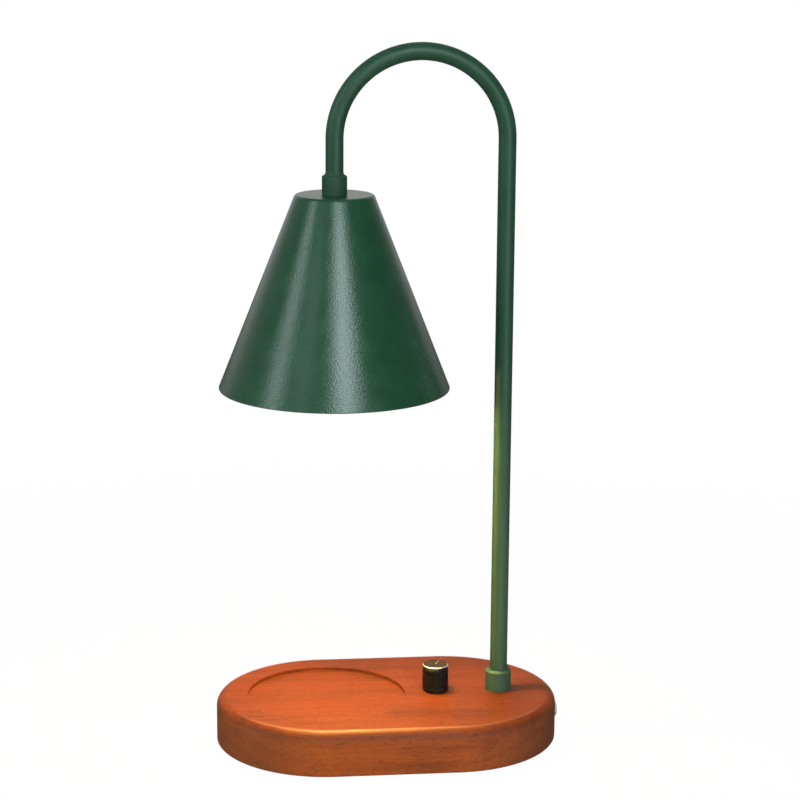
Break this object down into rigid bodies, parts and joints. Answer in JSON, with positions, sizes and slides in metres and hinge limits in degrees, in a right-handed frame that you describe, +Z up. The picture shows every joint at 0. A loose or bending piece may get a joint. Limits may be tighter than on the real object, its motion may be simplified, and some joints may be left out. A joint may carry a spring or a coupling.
{
  "type": "candle warmer lamp",
  "caption": "Candle warmer lamp: a wooden base with a round jar seat and a dimmer knob, and a halogen spot in a conical metal shade hung from a gooseneck tube.",
  "frame": {"origin": "on the table, under the middle of the wooden base", "axes": "+Z up, +X along the base towards the pole and the cord inlet, -Y towards the user"},
  "size_m": [0.1986, 0.13, 0.402],
  "materials": {
    "oiled_wood": "oiled, satin",
    "cover_board": "raw dark board",
    "green_coat": "satin powder coat",
    "zinc_steel": "zinc plated",
    "ceramic": "glazed off-white",
    "brass": "bright",
    "pin_metal": "nickel plated",
    "reflector_coat": "bright coating on glass",
    "clear_glass": "clear",
    "knob_black": "gloss black",
    "knob_metal": "spun and bevelled",
    "foot_rubber": "matte",
    "grommet_rubber": "satin taupe",
    "board_resin": "solder mask",
    "block_plastic": "moulded",
    "part_plastic": "moulded",
    "wire_silicone": "silicone sleeve"
  },
  "bodies": {
    "lamp": {"wooden_base": "oiled_wood", "bottom_cover": "cover_board", "bottom_cover_screws": "zinc_steel", "rubber_feet": "foot_rubber", "cord_grommet": "grommet_rubber", "gooseneck_tube": "green_coat", "pole_collar": "green_coat", "pole_washer": "zinc_steel", "pole_nut": "zinc_steel", "neck_collar": "green_coat", "lead_bushes": "part_plastic", "shade": "green_coat", "shade_washer": "zinc_steel", "shade_nut": "zinc_steel", "holder_bracket": "zinc_steel", "lamp_holder": "ceramic", "holder_lid": "ceramic", "holder_screws": "zinc_steel", "holder_contacts": "brass", "pot_housing": "zinc_steel", "pot_wafer": "board_resin", "pot_terminals": "pin_metal", "dimmer_plate": "zinc_steel", "dimmer_plate_screws": "zinc_steel", "pot_washer": "zinc_steel", "pot_nut": "zinc_steel", "dimmer_board": "board_resin", "terminal_block": "block_plastic", "terminal_screws": "zinc_steel", "dimmer_capacitor": "part_plastic", "dimmer_choke": "part_plastic", "dimmer_triac": "part_plastic", "triac_heat_sink": "knob_metal", "board_resistors": "part_plastic", "lamp_wires": "wire_silicone"},
    "dimmer_knob": {"knob_body": "knob_black", "knob_cap": "knob_metal", "pot_shaft": "zinc_steel"},
    "bulb": {"bulb_base": "ceramic", "bulb_pins": "pin_metal", "bulb_reflector": "reflector_coat", "bulb_front_glass": "clear_glass", "bulb_capsule": "clear_glass"}
  },
  "joints": [
    {"name": "knob_turn", "type": "hinge", "parent": "lamp", "child": "dimmer_knob", "pos_m": [0.0285, 0, 0.0355], "axis": [0, 0, -1], "range_deg": [-172, 128]},
    {"name": "bulb_twist", "type": "hinge", "parent": "lamp", "child": "bulb", "pos_m": [-0.0305, 0, 0.285], "axis": [0, 0, -1], "range_deg": [0, 30]}
  ]
}
